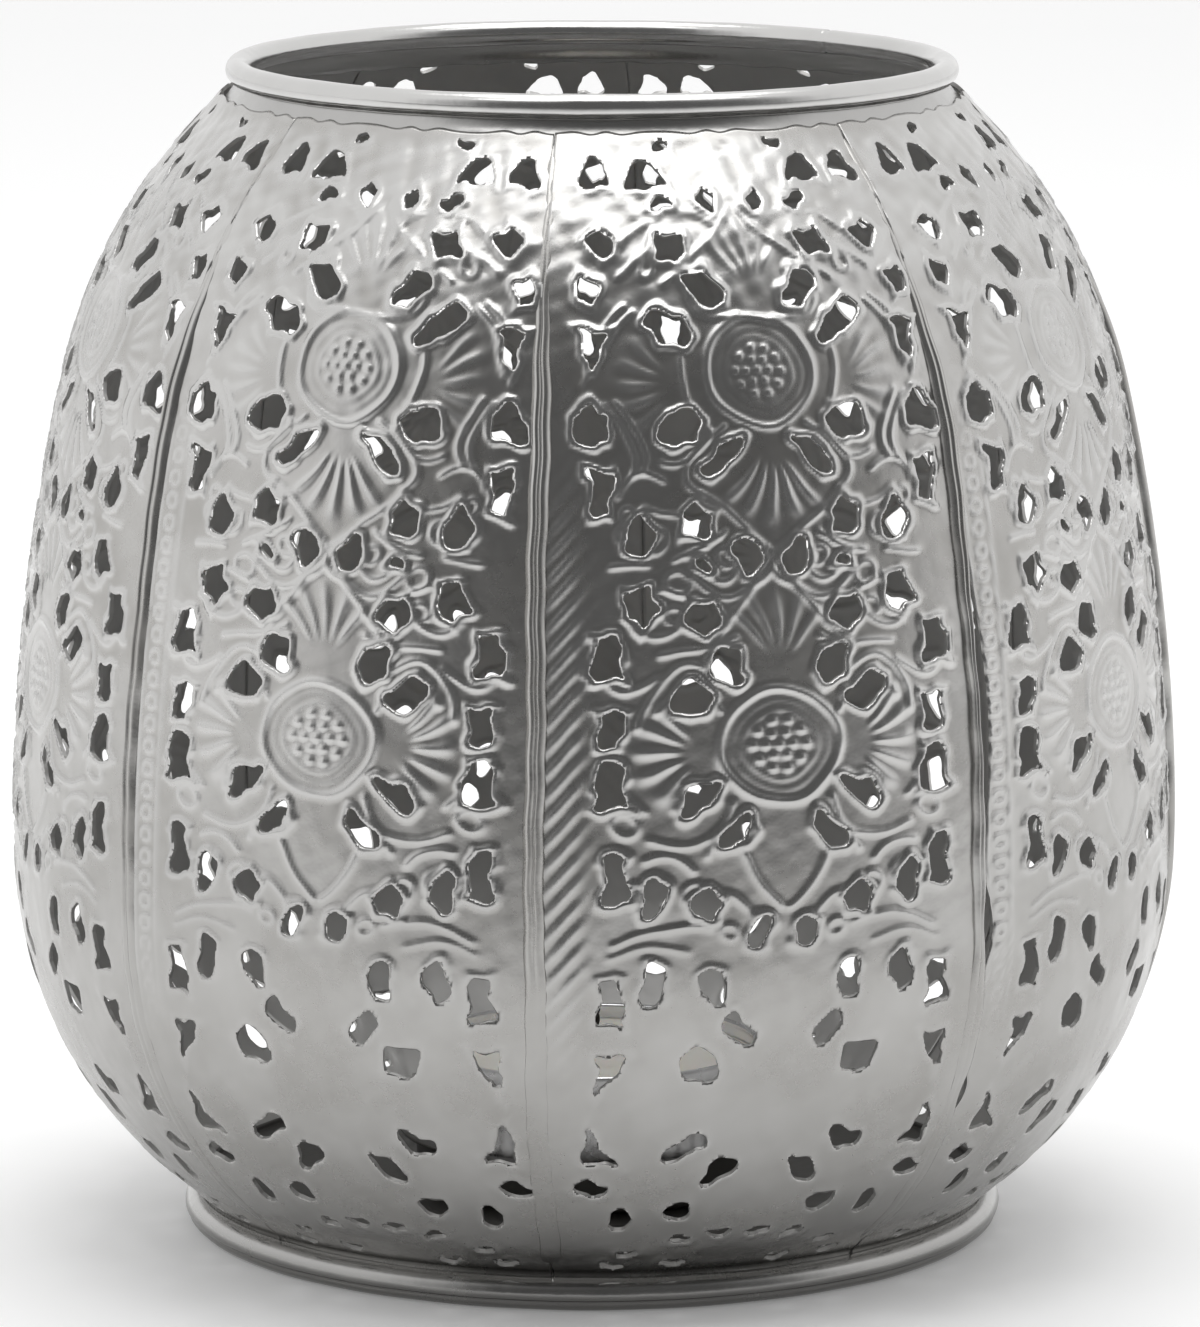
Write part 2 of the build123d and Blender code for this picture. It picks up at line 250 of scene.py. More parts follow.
def lathe(name, outline, materials, turns=192, wobble=None):
    """A closed ring: a closed list of (r, z) turned about Z. wobble(angle, k, r, z) may move points."""
    count = len(outline)
    points, faces = [], []
    for i in range(turns):
        a = 2 * math.pi * i / turns
        for k, (r, z) in enumerate(outline):
            if wobble:
                r, z = wobble(a, k, r, z)
            points.append((r * math.sin(a), -r * math.cos(a), z))
    for i in range(turns):
        j = (i + 1) % turns
        for k in range(count):
            m = (k + 1) % count
            faces.append((i * count + k, j * count + k, j * count + m, i * count + m))
    return mesh_piece(name, points, faces, materials)


# ------------------------------------------------------------------ profile of the wall
def wall_arcs():
    """Centre r, centre z, radius, first and last angle of the wall's three tangent arcs."""
    dr, dz = BELLY_R - NECK_R, BELLY_Z - BEND_Z
    low = (dr * dr + dz * dz) / (2 * dr)
    lean = math.asin((SHOULDER_Z - BELLY_Z) / SIDE_ARC)
    start_r = BELLY_R - SIDE_ARC + SIDE_ARC * math.cos(lean)
    end_r, end_z = RIM_R + TOP_EDGE_OUT, RIM_Z - TOP_EDGE_DOWN
    dr, dz_top = end_r - start_r, end_z - SHOULDER_Z
    top = -(dr * dr + dz_top * dz_top) / (2 * (dr * math.cos(lean) + dz_top * math.sin(lean)))
    top_r, top_z = start_r - top * math.cos(lean), SHOULDER_Z - top * math.sin(lean)
    return [
        (BELLY_R - low, BELLY_Z, low, -math.asin(dz / low), 0.0),
        (BELLY_R - SIDE_ARC, BELLY_Z, SIDE_ARC, 0.0, lean),
        (top_r, top_z, top, lean, math.atan2(end_z - top_z, end_r - top_r)),
    ]


ARCS = wall_arcs()
WALL_LENGTH = sum(radius * (last - first) for _, _, radius, first, last in ARCS)
BEND_SOFT = 0.7                          # half length over which the sheet turns from neck to wall


def wall(s):
    """Radius, height and lean of the wall's outside at arc lengths above the neck's bend."""
    s = np.asarray(s, float)
    r = np.full(s.shape, NECK_R)
    z = BEND_Z + s
    lean = np.zeros(s.shape)
    start = 0.0
    for i, (cr, cz, radius, first, last) in enumerate(ARCS):
        on = (s >= start) if i else (s >= 0)
        angle = first + (s - start) / radius
        r = np.where(on, cr + radius * np.cos(angle), r)
        z = np.where(on, cz + radius * np.sin(angle), z)
        lean = np.where(on, angle, lean)
        start += radius * (last - first)
    soft = np.clip((s + BEND_SOFT) / (2 * BEND_SOFT), 0, 1)
    bend = ARCS[0][3]
    lean = np.where(np.abs(s) < BEND_SOFT, bend * soft * soft * (3 - 2 * soft), lean)
    return r, z, lean


def s_at(z):
    """Arc length of a height on the wall."""
    table = np.linspace(0, WALL_LENGTH, 3000)
    return float(np.interp(z, wall(table)[1], table))


# ------------------------------------------------------------------ punched holes of a panel
# Outlines in a box from -1 to 1 both ways: x points away from the panel's middle, y points up.
OUTLINES = {
    "triangle": [(-1, -1), (1, -1), (0.1, 1)],
    "spike": [(-1, -1), (1, -1), (0.9, 1)],
    "trapezoid": [(-1, -1), (1, -1), (0.7, 1), (-0.6, 1)],
    "diamond": [(0, -1), (1, 0), (0, 1), (-1, 0)],
    "kite": [(-0.4, -1), (1, -0.5), (0.5, 1), (-1, 0.5)],
    "pentagon": [(-0.7, -1), (0.7, -1), (1, 0.1), (0, 1), (-1, 0.1)],
    "oval": None,
}
# Outline, angle from the panel's middle, height, width, height along the sheet (negative:
# point down), tilt in degrees. Each row makes a hole on both halves of the panel.
HOLES = [
    ("oval", 8.3, 126.2, 2.2, 1.2, 0),
    ("trapezoid", 11.0, 123.5, 4.2, 3.4, 0),
    ("trapezoid", 18.0, 123.5, 3.2, 3.4, 0),
    ("diamond", 3.2, 120.8, 2.4, 3.0, 0),
    ("oval", 9.0, 120.4, 2.6, 1.5, 0),
    ("kite", 9.3, 116.1, 3.8, 3.7, 0),
    ("diamond", 16.8, 117.0, 3.2, 4.0, 0),
    ("kite", 19.0, 112.2, 2.2, 3.8, 0),
    ("oval", 5.7, 111.9, 5.5, 2.6, 41),
    ("oval", 9.8, 108.4, 6.0, 2.5, 33),
    ("triangle", 18.3, 106.0, 3.2, -4.8, 0),
    ("pentagon", 18.2, 98.7, 4.0, 4.3, 0),
    ("oval", 9.3, 98.6, 4.5, 3.5, -30),
    ("oval", 5.0, 95.2, 5.5, 2.0, -42),
    ("trapezoid", 17.6, 91.6, 2.4, -4.6, 0),
    ("pentagon", 7.6, 88.9, 3.7, 3.8, 0),
    ("pentagon", 13.5, 87.9, 3.3, 4.3, 0),
    ("oval", 2.5, 85.0, 2.7, 3.6, 0),
    ("oval", 7.2, 83.8, 1.6, 1.2, 0),
    ("pentagon", 13.4, 79.9, 3.3, -4.1, 0),
    ("pentagon", 7.6, 78.2, 3.6, -3.7, 0),
    ("trapezoid", 16.8, 75.0, 3.2, 4.6, 0),
    ("oval", 5.4, 73.6, 4.6, 3.0, 55),
    ("oval", 8.6, 70.4, 4.6, 3.0, 25),
    ("trapezoid", 16.4, 67.2, 3.0, -4.0, 0),
    ("trapezoid", 16.2, 61.2, 3.6, 4.6, 0),
    ("oval", 8.3, 60.2, 5.2, 2.3, -34),
    ("oval", 4.8, 56.1, 5.0, 2.2, -43),
    ("trapezoid", 16.2, 51.7, 2.7, 5.0, 0),
    ("oval", 12.6, 49.7, 2.6, 4.2, 0),
    ("pentagon", 7.3, 48.7, 3.5, 3.5, 0),
    ("oval", 2.2, 45.7, 2.2, 3.6, 0),
    ("oval", 12.4, 40.2, 2.6, 4.5, 0),
    ("oval", 6.9, 39.7, 2.7, 4.0, 0),
    ("trapezoid", 16.3, 38.5, 2.8, 5.3, 0),
    ("oval", 4.5, 34.7, 4.6, 2.4, 45),
    ("oval", 7.9, 31.1, 4.8, 3.4, 30),
    ("spike", 16.5, 29.9, 3.6, -5.4, 0),
    ("spike", 17.0, 21.5, 3.8, 5.2, 0),
    ("oval", 8.8, 21.4, 5.4, 2.6, -30),
    ("oval", 5.0, 17.9, 5.2, 2.4, -50),
    ("diamond", 18.4, 16.2, 3.8, 3.4, 0),
    ("oval", 8.5, 12.7, 3.4, 3.3, 0),
    ("oval", 15.2, 12.1, 2.9, 3.7, 0),
    ("oval", 2.4, 9.7, 2.8, 1.5, 0),
    ("oval", 7.2, 8.7, 2.8, 1.5, 0),
    ("oval", 13.2, 7.0, 2.6, 1.3, 0),
    ("oval", 7.6, 5.3, 2.6, 1.1, 0),
    ("oval", 15.4, 5.3, 2.4, 1.1, 0),
]
CORNER = 0.25                            # rounding of the punches' corners, mm
FAR = 9.0                                # distances are cut off here, mm


def outline_distance(kind, u, v, width, height):
    """Distance from a hole's outline, negative inside it."""
    a, b = width / 2, abs(height) / 2
    if OUTLINES[kind] is None:
        near = np.sqrt((u / a) ** 2 + (v / b) ** 2)
        steep = np.sqrt((u / a ** 2) ** 2 + (v / b ** 2) ** 2)
        return near * (near - 1) / np.maximum(steep, 1e-6)
    corners = np.array(OUTLINES[kind], float) * (a, height / 2)
    if height < 0:
        corners = corners[::-1]
    worst = np.full(u.shape, -FAR)
    for p, q in zip(corners, np.roll(corners, -1, axis=0)):
        along = (q - p) / np.hypot(*(q - p))
        side = (u - p[0]) * along[1] - (v - p[1]) * along[0]
        soft = np.clip(0.5 + (side - worst) / (2 * CORNER), 0, 1)
        worst = worst * (1 - soft) + side * soft + CORNER * soft * (1 - soft)
    return worst


MM_PER_DEGREE = 1.05                     # roughly, on the panels


def bent(angle, s):
    """Places moved a little in long waves, as on sheet that was stamped by hand."""
    x = angle * MM_PER_DEGREE
    da = 0.3 * np.sin(0.31 * s + 1.1 * np.sin(0.21 * x)) + 0.12 * np.sin(0.83 * s - 0.4 * x)
    ds = 0.3 * np.sin(0.34 * x + 1.3 * np.sin(0.17 * s)) + 0.12 * np.sin(0.9 * x + 0.5 * s)
    return angle + da, s + ds


def torn(angle, s):
    """Places moved in short waves too, which makes a punched outline ragged."""
    angle, s = bent(angle, s)
    x = angle * MM_PER_DEGREE
    da = 0.26 * np.sin(1.5 * s + 1.6 * np.sin(0.8 * x)) + 0.06 * np.sin(3.4 * s - 1.9 * x)
    ds = 0.28 * np.sin(1.6 * x + 1.5 * np.sin(0.7 * s)) + 0.06 * np.sin(3.6 * x + 1.7 * s)
    return angle + da, s + ds


HOLE_REACH = 3.0                         # a hole's distance is worked out this far round it, mm
HOLE_PLACES = [(kind, at, s_at(z), float(wall(s_at(z))[0]), *rest) for kind, at, z, *rest in HOLES]


def hole_distance(angle, s):
    """Distance in mm from the nearest hole's edge, negative inside it, at places on the panel."""
    angle, s = torn(angle, s)
    best = np.full(angle.shape, FAR)
    for kind, at, up, r, width, height, tilt in HOLE_PLACES:
        u0 = np.radians(np.abs(angle) - at) * r
        v0 = s - up
        near = u0 ** 2 + v0 ** 2 < (max(width, abs(height)) / 2 + HOLE_REACH) ** 2
        c, t = math.cos(math.radians(tilt)), math.sin(math.radians(tilt))
        u, v = u0[near] * c + v0[near] * t, v0[near] * c - u0[near] * t
        best[near] = np.minimum(best[near], outline_distance(kind, u, v, width, height))
    return best


# ------------------------------------------------------------------ stamped relief of a panel
RELIEF_DEPTH = 0.36                      # the plain sheet lies this far inside the CAD wall, mm
SHEET_SHOWN = 0.42                       # thickness of the stamped sheet, mm
BOSSES = (107.4, 68.0)                   # arc lengths of the two bosses on the panel's middle line
RELIEF_LOW, RELIEF_HIGH = 47.0, 125.0    # the ornament fades out below and above
DRAWN_R = 60.0                           # radius at which the ornament's sideways sizes are drawn, mm
CURVE_STEPS = 11
BOSS_R = 6.1
# Rings of a boss: radius, width, height. Beads in its middle: how many, on which radius, size, height.
BOSS_RINGS = [(BOSS_R, 0.42, 1.05), (4.8, 0.35, 0.2), (3.7, 0.3, 0.3)]
BOSS_DOME = 0.15
BOSS_BEADS = [(1, 0.0, 0.5, 1.0), (6, 1.3, 0.42, 0.95), (10, 2.6, 0.46, 0.95)]
RIDGE_HEIGHT, RIDGE_WIDTH = 0.85, 0.34
RING_HEIGHT, RING_WIDTH = 0.75, 0.32
RELIEF_MOST = 1.15


def ridge(distance, width):
    return np.exp(-(distance / width) ** 2)


def curve_distance(x, s, points):
    """Distance from a smooth curve through the middle of three points, or a straight run of two."""
    p = np.array(points, float)
    if len(p) == 3:
        t = np.linspace(0, 1, CURVE_STEPS)[:, None]
        bend = 2 * p[1] - (p[0] + p[2]) / 2
        p = (1 - t) ** 2 * p[0] + 2 * t * (1 - t) * bend + t ** 2 * p[2]
    best = np.full(x.shape, FAR)
    for a, b in zip(p[:-1], p[1:]):
        d = b - a
        t = np.clip(((x - a[0]) * d[0] + (s - a[1]) * d[1]) / (d @ d), 0, 1)
        best = np.minimum(best, np.hypot(x - a[0] - t * d[0], s - a[1] - t * d[1]))
    return best


def boss(x, s, up):
    """Domed medallion: a bold ring, a faint one inside it and a cluster of beads in the middle."""
    y = s - up
    far = np.hypot(x, y)
    turn = np.arctan2(y, x)
    relief = BOSS_DOME * np.clip(1 - (far / BOSS_R) ** 2, 0, 1)
    for radius, width, height in BOSS_RINGS:
        relief += height * ridge(far - radius, width)
    for count, radius, size, height in BOSS_BEADS:
        at = np.round(turn * count / (2 * math.pi)) * 2 * math.pi / count
        relief += height * ridge(np.hypot(x - radius * np.cos(at), y - radius * np.sin(at)), size)
    return relief


def fan(x, s, centre, towards, spread, near, far, ribs, height):
    """Ribs that spread from a centre, like a scallop shell."""
    dx, dy = x - centre[0], s - centre[1]
    out = np.hypot(dx, dy)
    turn = np.degrees(np.arctan2(dy, dx)) - towards
    turn = (turn + 180) % 360 - 180
    inside = step_up(out, near, 0.3) * step_down(out, far, 0.4) * step_down(np.abs(turn), spread, 2.0)
    wave = (0.5 + 0.5 * np.cos(np.radians(turn) * 180 / spread * ribs)) ** 1.4
    return height * inside * wave


# Fans on one half of the panel: centre's mm from the middle line and mm up, direction and half
# spread in degrees, where the ribs start and end, how many there are and their height.
FANS = [
    ((9.0, BOSSES[0] - 1), 0, 52, 3.0, 7.2, 5, 0.5),
    ((7.8, BOSSES[1]), 0, 60, 2.6, 6.8, 5, 0.9),
    ((0, BOSSES[0] - 8), -90, 50, 2.4, 7.6, 5, 0.9),
    ((0, BOSSES[0] + 9), 90, 48, 3.0, 8.5, 5, 0.45),
    ((0, BOSSES[1] + 8.6), 90, 50, 2.6, 8.0, 5, 0.6),
]
# Ridges on one half of the panel, in mm from its middle line and mm up: each is a curve
# through three points, or a straight run of two. The other half is their mirror image.
RIDGES = [
    [(5.0, 101.8), (9.2, 98.0), (7.6, 94.8)],
    [(7.6, 94.8), (4.0, 91.9), (0.0, 88.6)],
    [(0.0, 87.0), (3.4, 83.6), (7.2, 78.6)],
    [(8.3, 111.0), (8.9, 106.3), (6.8, 101.5)],
    [(6.8, 101.5), (9.0, 98.7), (12.1, 98.5)],
    [(14.6, 114.5), (17.4, 111.3), (18.6, 107.1)],
    [(15.6, 115.1), (18.5, 111.8), (19.6, 107.4)],
    [(17.4, 103.9), (15.0, 100.1), (15.2, 97.1)],
    [(16.3, 104.3), (13.9, 100.5), (14.1, 97.4)],
    [(11.7, 96.5), (14.8, 97.0), (16.7, 94.7)],
    [(10.6, 117.1), (4.8, 121.9), (0.4, 126.3)],
    [(16.3, 118.5), (12.5, 120.9), (10.2, 121.3)],
    [(14.8, 122.8), (8.7, 125.6), (3.3, 124.3)],
    [(7.9, 117.0), (6.6, 113.8), (2.0, 113.6)],
    [(13.7, 94.0), (11.0, 92.8), (7.1, 92.8)],
    [(17.1, 87.6), (12.9, 87.6)],
    [(10.2, 87.8), (7.1, 89.0), (4.8, 90.5)],
    [(8.7, 85.9), (5.2, 83.6), (1.3, 87.0)],
    [(7.5, 86.3), (5.6, 85.3), (4.0, 86.7)],
    [(5.6, 90.1), (8.7, 87.8)],
    [(14.0, 84.5), (11.2, 84.6), (8.6, 82.9)],
    [(12.5, 78.1), (8.6, 78.3), (4.8, 79.5)],
    [(14.8, 81.3), (12.1, 79.8), (9.4, 81.6)],
    [(18.5, 79.8), (17.2, 74.6), (12.9, 76.0)],
    [(14.4, 70.5), (11.4, 76.4), (6.3, 75.2)],
    [(12.5, 72.1), (9.2, 74.6), (6.0, 71.7)],
    [(18.7, 71.5), (15.6, 71.2)],
    [(17.9, 66.0), (14.0, 61.7)],
    [(13.7, 58.7), (7.9, 58.6), (5.4, 62.4)],
    [(11.3, 62.1), (10.2, 64.0), (7.9, 64.4)],
    [(18.7, 56.0), (16.3, 56.2)],
    [(14.0, 56.7), (11.3, 56.9), (9.4, 55.2)],
    [(7.9, 56.7), (6.7, 58.9), (4.8, 57.9)],
    [(4.6, 57.0), (2.9, 54.0), (0.4, 51.3)],
    [(7.9, 51.7), (5.6, 52.5), (3.3, 50.5)],
    [(12.8, 50.4), (11.4, 53.4), (12.9, 55.0)],
    [(7.2, 48.6), (11.4, 49.1), (16.8, 47.8)],
    [(9.6, 46.4), (13.4, 47.2), (17.0, 46.4)],
]
# Small raised rings on one half: mm from the middle line, mm up, radius.
RINGS = [
    (1.6, 87.1, 1.6), (5.0, 87.9, 0.9), (10.2, 85.4, 1.2), (13.9, 83.9, 1.1), (12.4, 90.2, 1.3),
    (15.6, 90.8, 1.0), (6.4, 81.3, 0.9), (10.9, 81.9, 0.9), (15.9, 60.2, 1.1), (15.2, 53.4, 1.0),
    (5.4, 48.4, 0.8), (9.0, 52.6, 1.2), (2.4, 49.4, 0.8), (12.8, 118.9, 0.9), (5.8, 118.6, 0.8),
    (15.4, 93.0, 0.8),
]


def waves(x, s):
    """Soft dents of hammered sheet, from -1 to 1."""
    a = np.sin(0.9 * x + 1.4 * np.sin(0.55 * s)) * np.sin(0.8 * s + 1.2 * np.sin(0.6 * x))
    return 0.65 * a + 0.35 * np.sin(1.9 * x - 1.1 * s) * np.sin(1.7 * s + 0.7 * x)


def ornament(angle, s):
    """Height of the stamped ornament, from 0 to about 1."""
    angle, s = bent(angle, s)
    x = np.abs(np.radians(angle) * DRAWN_R)
    relief = boss(x, s, BOSSES[0]) + boss(x, s, BOSSES[1])
    for shape in FANS:
        relief += fan(x, s, *shape)
    for points in RIDGES:
        relief += RIDGE_HEIGHT * ridge(curve_distance(x, s, points), RIDGE_WIDTH)
    for cx, cy, radius in RINGS:
        relief += RING_HEIGHT * ridge(np.hypot(x - cx, s - cy) - radius, RING_WIDTH)
    fade = step_up(s, RELIEF_LOW, 1.5) * step_down(s, RELIEF_HIGH, 1.2)
    return np.clip(relief, 0, RELIEF_MOST) * fade


ROPE_WIDTH, ROPE_PITCH, ROPE_SLANT = 1.9, 2.5, 1.15
BEAD_PITCH, BEAD_R, BEAD_LINES = 2.4, 0.75, 1.75


def rope(x, s):
    """Slanting strokes of a rope, x mm from the strip's middle."""
    fade = ridge(x, ROPE_WIDTH) * step_up(s, 41, 3) * step_down(s, 92, 4)
    stroke = (0.5 + 0.5 * np.cos((s - x * ROPE_SLANT) * 2 * math.pi / ROPE_PITCH)) ** 2
    return stroke * np.clip(1.4 * fade, 0, 1)


def beads(x, s):
    """Small rings in a row between two thin lines, x mm from the strip's middle."""
    y = (s + BEAD_PITCH / 2) % BEAD_PITCH - BEAD_PITCH / 2
    relief = 0.8 * ridge(np.hypot(x, y) - BEAD_R, 0.26) + 0.7 * ridge(np.abs(x) - BEAD_LINES, 0.24)
    return np.clip(relief, 0, 1) * step_up(s, 40, 3) * step_down(s, 98, 3)


ORNAMENT_SHARE, STRIP_SHARE = 0.8, 0.72   # of the relief's depth
LIP_OUT, LIP_WIDTH = 0.32, 0.33           # raised lip round each hole, mm
DENTED_FROM = 112                         # the sheet is dented more above this arc length, mm


def full_relief(s):
    """1 on the wall, 0 at its two ends, where the sheet meets the hoop and the collar."""
    return step_up(s, 2.0, 0.5) * step_down(s, WALL_LENGTH - 1.6, 0.4)


def relief_height(angle, s, strip, distance):
    """Outward height of the sheet's face over its plain level, in mm."""
    r = wall(s)[0]
    strip_x = np.radians(angle + STRIP_ANGLE) * r
    height = ORNAMENT_SHARE * ornament(angle, s) + STRIP_SHARE * strip(strip_x, s)
    field = step_up(s, RELIEF_LOW, 2) * step_down(s, RELIEF_HIGH, 2)
    height = height * (1 - 0.75 * ridge(distance, 0.6))
    height = np.maximum(height, (0.2 + 0.75 * field) * ridge(distance - LIP_OUT, LIP_WIDTH))
    dents = (0.07 + 0.22 * step_up(s, DENTED_FROM, 3)) * (1 + waves(np.radians(angle) * r, s))
    return RELIEF_DEPTH * np.clip(height + dents, 0, 1) * full_relief(s)


GAPING = 1                               # the panel whose left seam gapes
STRIP_ANGLE = 20.9                       # angle of the border strip's middle, left of the panel's
SEAM_OPEN = [(70, 12, 2.1), (46, 3.5, 1.8), (27, 2.4, 1.6)]     # its gaps: mm up, half length, mm wide
PANEL_LEFT = -180 / PANELS - SEAM_SHIFT + math.degrees(SEAM_GAP / 2 / BELLY_R)
PANEL_RIGHT = 180 / PANELS - SEAM_SHIFT - math.degrees(SEAM_GAP / 2 / BELLY_R)


def seam_gape(s):
    """How far the gaping seam is open at an arc length, in mm."""
    return sum(width * ridge((s - up) / half, 1.0) ** 0.6 for up, half, width in SEAM_OPEN)


def spaced(stops):
    """Numbers between stops [(value, step after it), ...], evenly spaced in each stretch."""
    parts = []
    for (a, step), (b, _) in zip(stops[:-1], stops[1:]):
        parts.append(np.linspace(a, b, max(2, round((b - a) / step) + 1))[:-1])
    return np.concatenate([*parts, [stops[-1][0]]])


def clip_grid(distance):
    """Marching squares: polygons of grid corners (i, j) and cut edges, keeping where distance is positive."""
    keep = distance >= 0
    faces = []
    corner = [(0, 0), (0, 1), (1, 1), (1, 0)]
    whole = keep[:-1, :-1] & keep[:-1, 1:] & keep[1:, 1:] & keep[1:, :-1]
    some = keep[:-1, :-1] | keep[:-1, 1:] | keep[1:, 1:] | keep[1:, :-1]
    for i, j in zip(*np.nonzero(whole)):
        faces.append([("p", i + a, j + b) for a, b in corner])
    for i, j in zip(*np.nonzero(some & ~whole)):
        ring = []
        for k in range(4):
            a, b = corner[k], corner[(k + 1) % 4]
            p, q = (i + a[0], j + a[1]), (i + b[0], j + b[1])
            if keep[p]:
                ring.append(("p", *p))
            if keep[p] != keep[q]:
                low, high = min(p, q), max(p, q)
                ring.append(("e", *low, *high))
        if len(ring) > 2:
            faces.append(ring)
    return faces


# Rows of the panels' grid as arc lengths, and columns as shares of the width, each with the
# step after it.
ROWS = [(-NECK, 0.5), (0, 0.6), (44, 0.3), (118, 0.45), (WALL_LENGTH, 1)]
COLUMNS = [(0, 0.009), (0.12, 0.0066), (0.88, 0.009), (1, 1)]
RAGGED_OVER = 3.0                        # the top edge's unevenness starts this far below it, mm
SNAP = 0.07                              # corners this near an outline move onto it, mm
OUTSIDE, INSIDE, CUT_EDGE = 0, 1, 2      # kinds of faces


def panel_mesh_data(strip, gape):
    """One thick, punched and stamped panel facing -Y: its points, its faces, their kinds, and
    the points' relief heights."""
    s_rows, share = spaced(ROWS), spaced(COLUMNS)
    s_grid = np.repeat(s_rows[:, None], len(share), 1)
    left = PANEL_LEFT + (np.degrees(seam_gape(s_rows) / BELLY_R) if gape else 0 * s_rows)
    angle = left[:, None] + (PANEL_RIGHT - left[:, None]) * share[None, :]
    near_top = np.clip((s_grid - WALL_LENGTH + RAGGED_OVER) / RAGGED_OVER, 0, 1)
    s_grid = s_grid - 0.2 * (1 + np.sin(0.9 * angle + 1.5 * np.sin(0.37 * angle))) * near_top
    distance = hole_distance(angle, s_grid)

    # Corners that lie almost on an outline move onto it, so that no thin slivers are cut.
    r = wall(s_grid)[0]
    step = 0.01
    da = (hole_distance(angle + np.degrees(step / r), s_grid) - distance) / step
    ds = (hole_distance(angle, s_grid + step) - distance) / step
    steep = np.maximum(da ** 2 + ds ** 2, 0.25)
    close = np.abs(distance) < SNAP
    angle = np.where(close, angle - np.degrees(distance * da / steep / r), angle)
    s_grid = np.where(close, s_grid - distance * ds / steep, s_grid)
    distance = np.where(close, 0.0, distance)

    index, angles, ups = {}, [], []

    def place(key):
        if key in index:
            return index[key]
        if key[0] == "p":
            a, s = angle[key[1:]], s_grid[key[1:]]
        else:
            p, q = key[1:3], key[3:5]
            t = distance[p] / (distance[p] - distance[q])
            a, s = angle[p] + t * (angle[q] - angle[p]), s_grid[p] + t * (s_grid[q] - s_grid[p])
        index[key] = len(angles)
        angles.append(a)
        ups.append(s)
        return index[key]

    front = [[place(key) for key in face] for face in clip_grid(distance)]
    angles, ups = np.array(angles), np.array(ups)
    height = relief_height(angles, ups, strip, np.maximum(hole_distance(angles, ups), 0))
    r, z, lean = wall(ups)
    depth = RELIEF_DEPTH * full_relief(ups)
    turn = np.radians(angles)
    points = []
    for out in (height - depth, height - depth - SHEET_SHOWN):
        rr, zz = r + out * np.cos(lean), z + out * np.sin(lean)
        points.append(np.stack([rr * np.sin(turn), -rr * np.cos(turn), zz], 1))
    count = len(angles)
    faces = list(front) + [[i + count for i in reversed(face)] for face in front]
    edges = dict.fromkeys(pair for face in front for pair in zip(face, face[1:] + face[:1]))
    for a, b in edges:
        if (b, a) not in edges:
            faces.append([b, a, a + count, b + count])
    kinds = np.repeat([OUTSIDE, INSIDE, CUT_EDGE], [len(front), len(front), len(faces) - 2 * len(front)])
    return np.concatenate(points), faces, kinds, np.concatenate([height, height]) / RELIEF_DEPTH


def relief_attribute(piece, values):
    attribute = piece.data.attributes.new("relief", "FLOAT", "POINT")
    attribute.data.foreach_set("value", np.asarray(values, np.float32))


def make_panels(material, inside):
    """Eight panels, alternately with a rope and a beaded border on their left edge. One seam gapes."""
    roped = panel_mesh_data(rope, False)
    gaping = panel_mesh_data(beads, True)
    beaded = panel_mesh_data(beads, False)
    for i in range(PANELS):
        points, faces, kinds, relief = roped if i % 2 == 0 else gaping if i == GAPING else beaded
        turn = np.radians(i * 360 / PANELS)
        c, t = math.cos(turn), math.sin(turn)
        x, y, z = points.T
        turned = np.stack([x * c - y * t, x * t + y * c, z], 1)
        piece = mesh_piece(f"stamped_panel_{i + 1}", turned, faces, [material, inside])
        piece.data.polygons.foreach_set("material_index", np.minimum(kinds, INSIDE))
        piece.data.polygons.foreach_set("use_smooth", kinds != CUT_EDGE)
        relief_attribute(piece, relief)
        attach(piece, "lantern")
        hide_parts(f"wall_panel_{i + 1}")


# ------------------------------------------------------------------ metal
CLOUD_SCALE, FINE_SCALE = 90.0, 900.0    # of the noises, per m
CLOUD_DARK = 0.72                        # share of the colour left where the polish is cloudy
ROUGH_CLOUD, ROUGH_FINE = 0.22, 0.08     # how far the noises move the roughness
# The second colour is the grey of painted shade that darkens the metal near the foot.
TARNISH, PAINTED_SHADE_GREY = (0.30, 0.285, 0.26), (0.2, 0.197, 0.19)
# How strongly painted shade darkens the metal near the foot, how far its edge wanders in m,
# and its share at heights in decimetres.
WALL_PAINTED_SHADE = (0.75, 0.02, [(0.06, 1.0), (0.14, 0.45), (0.45, 0.38), (0.7, 0.0)])
FOOT_PAINTED_SHADE = (0.95, 0.001, [(0.014, 1.0), (0.03, 0.0)])


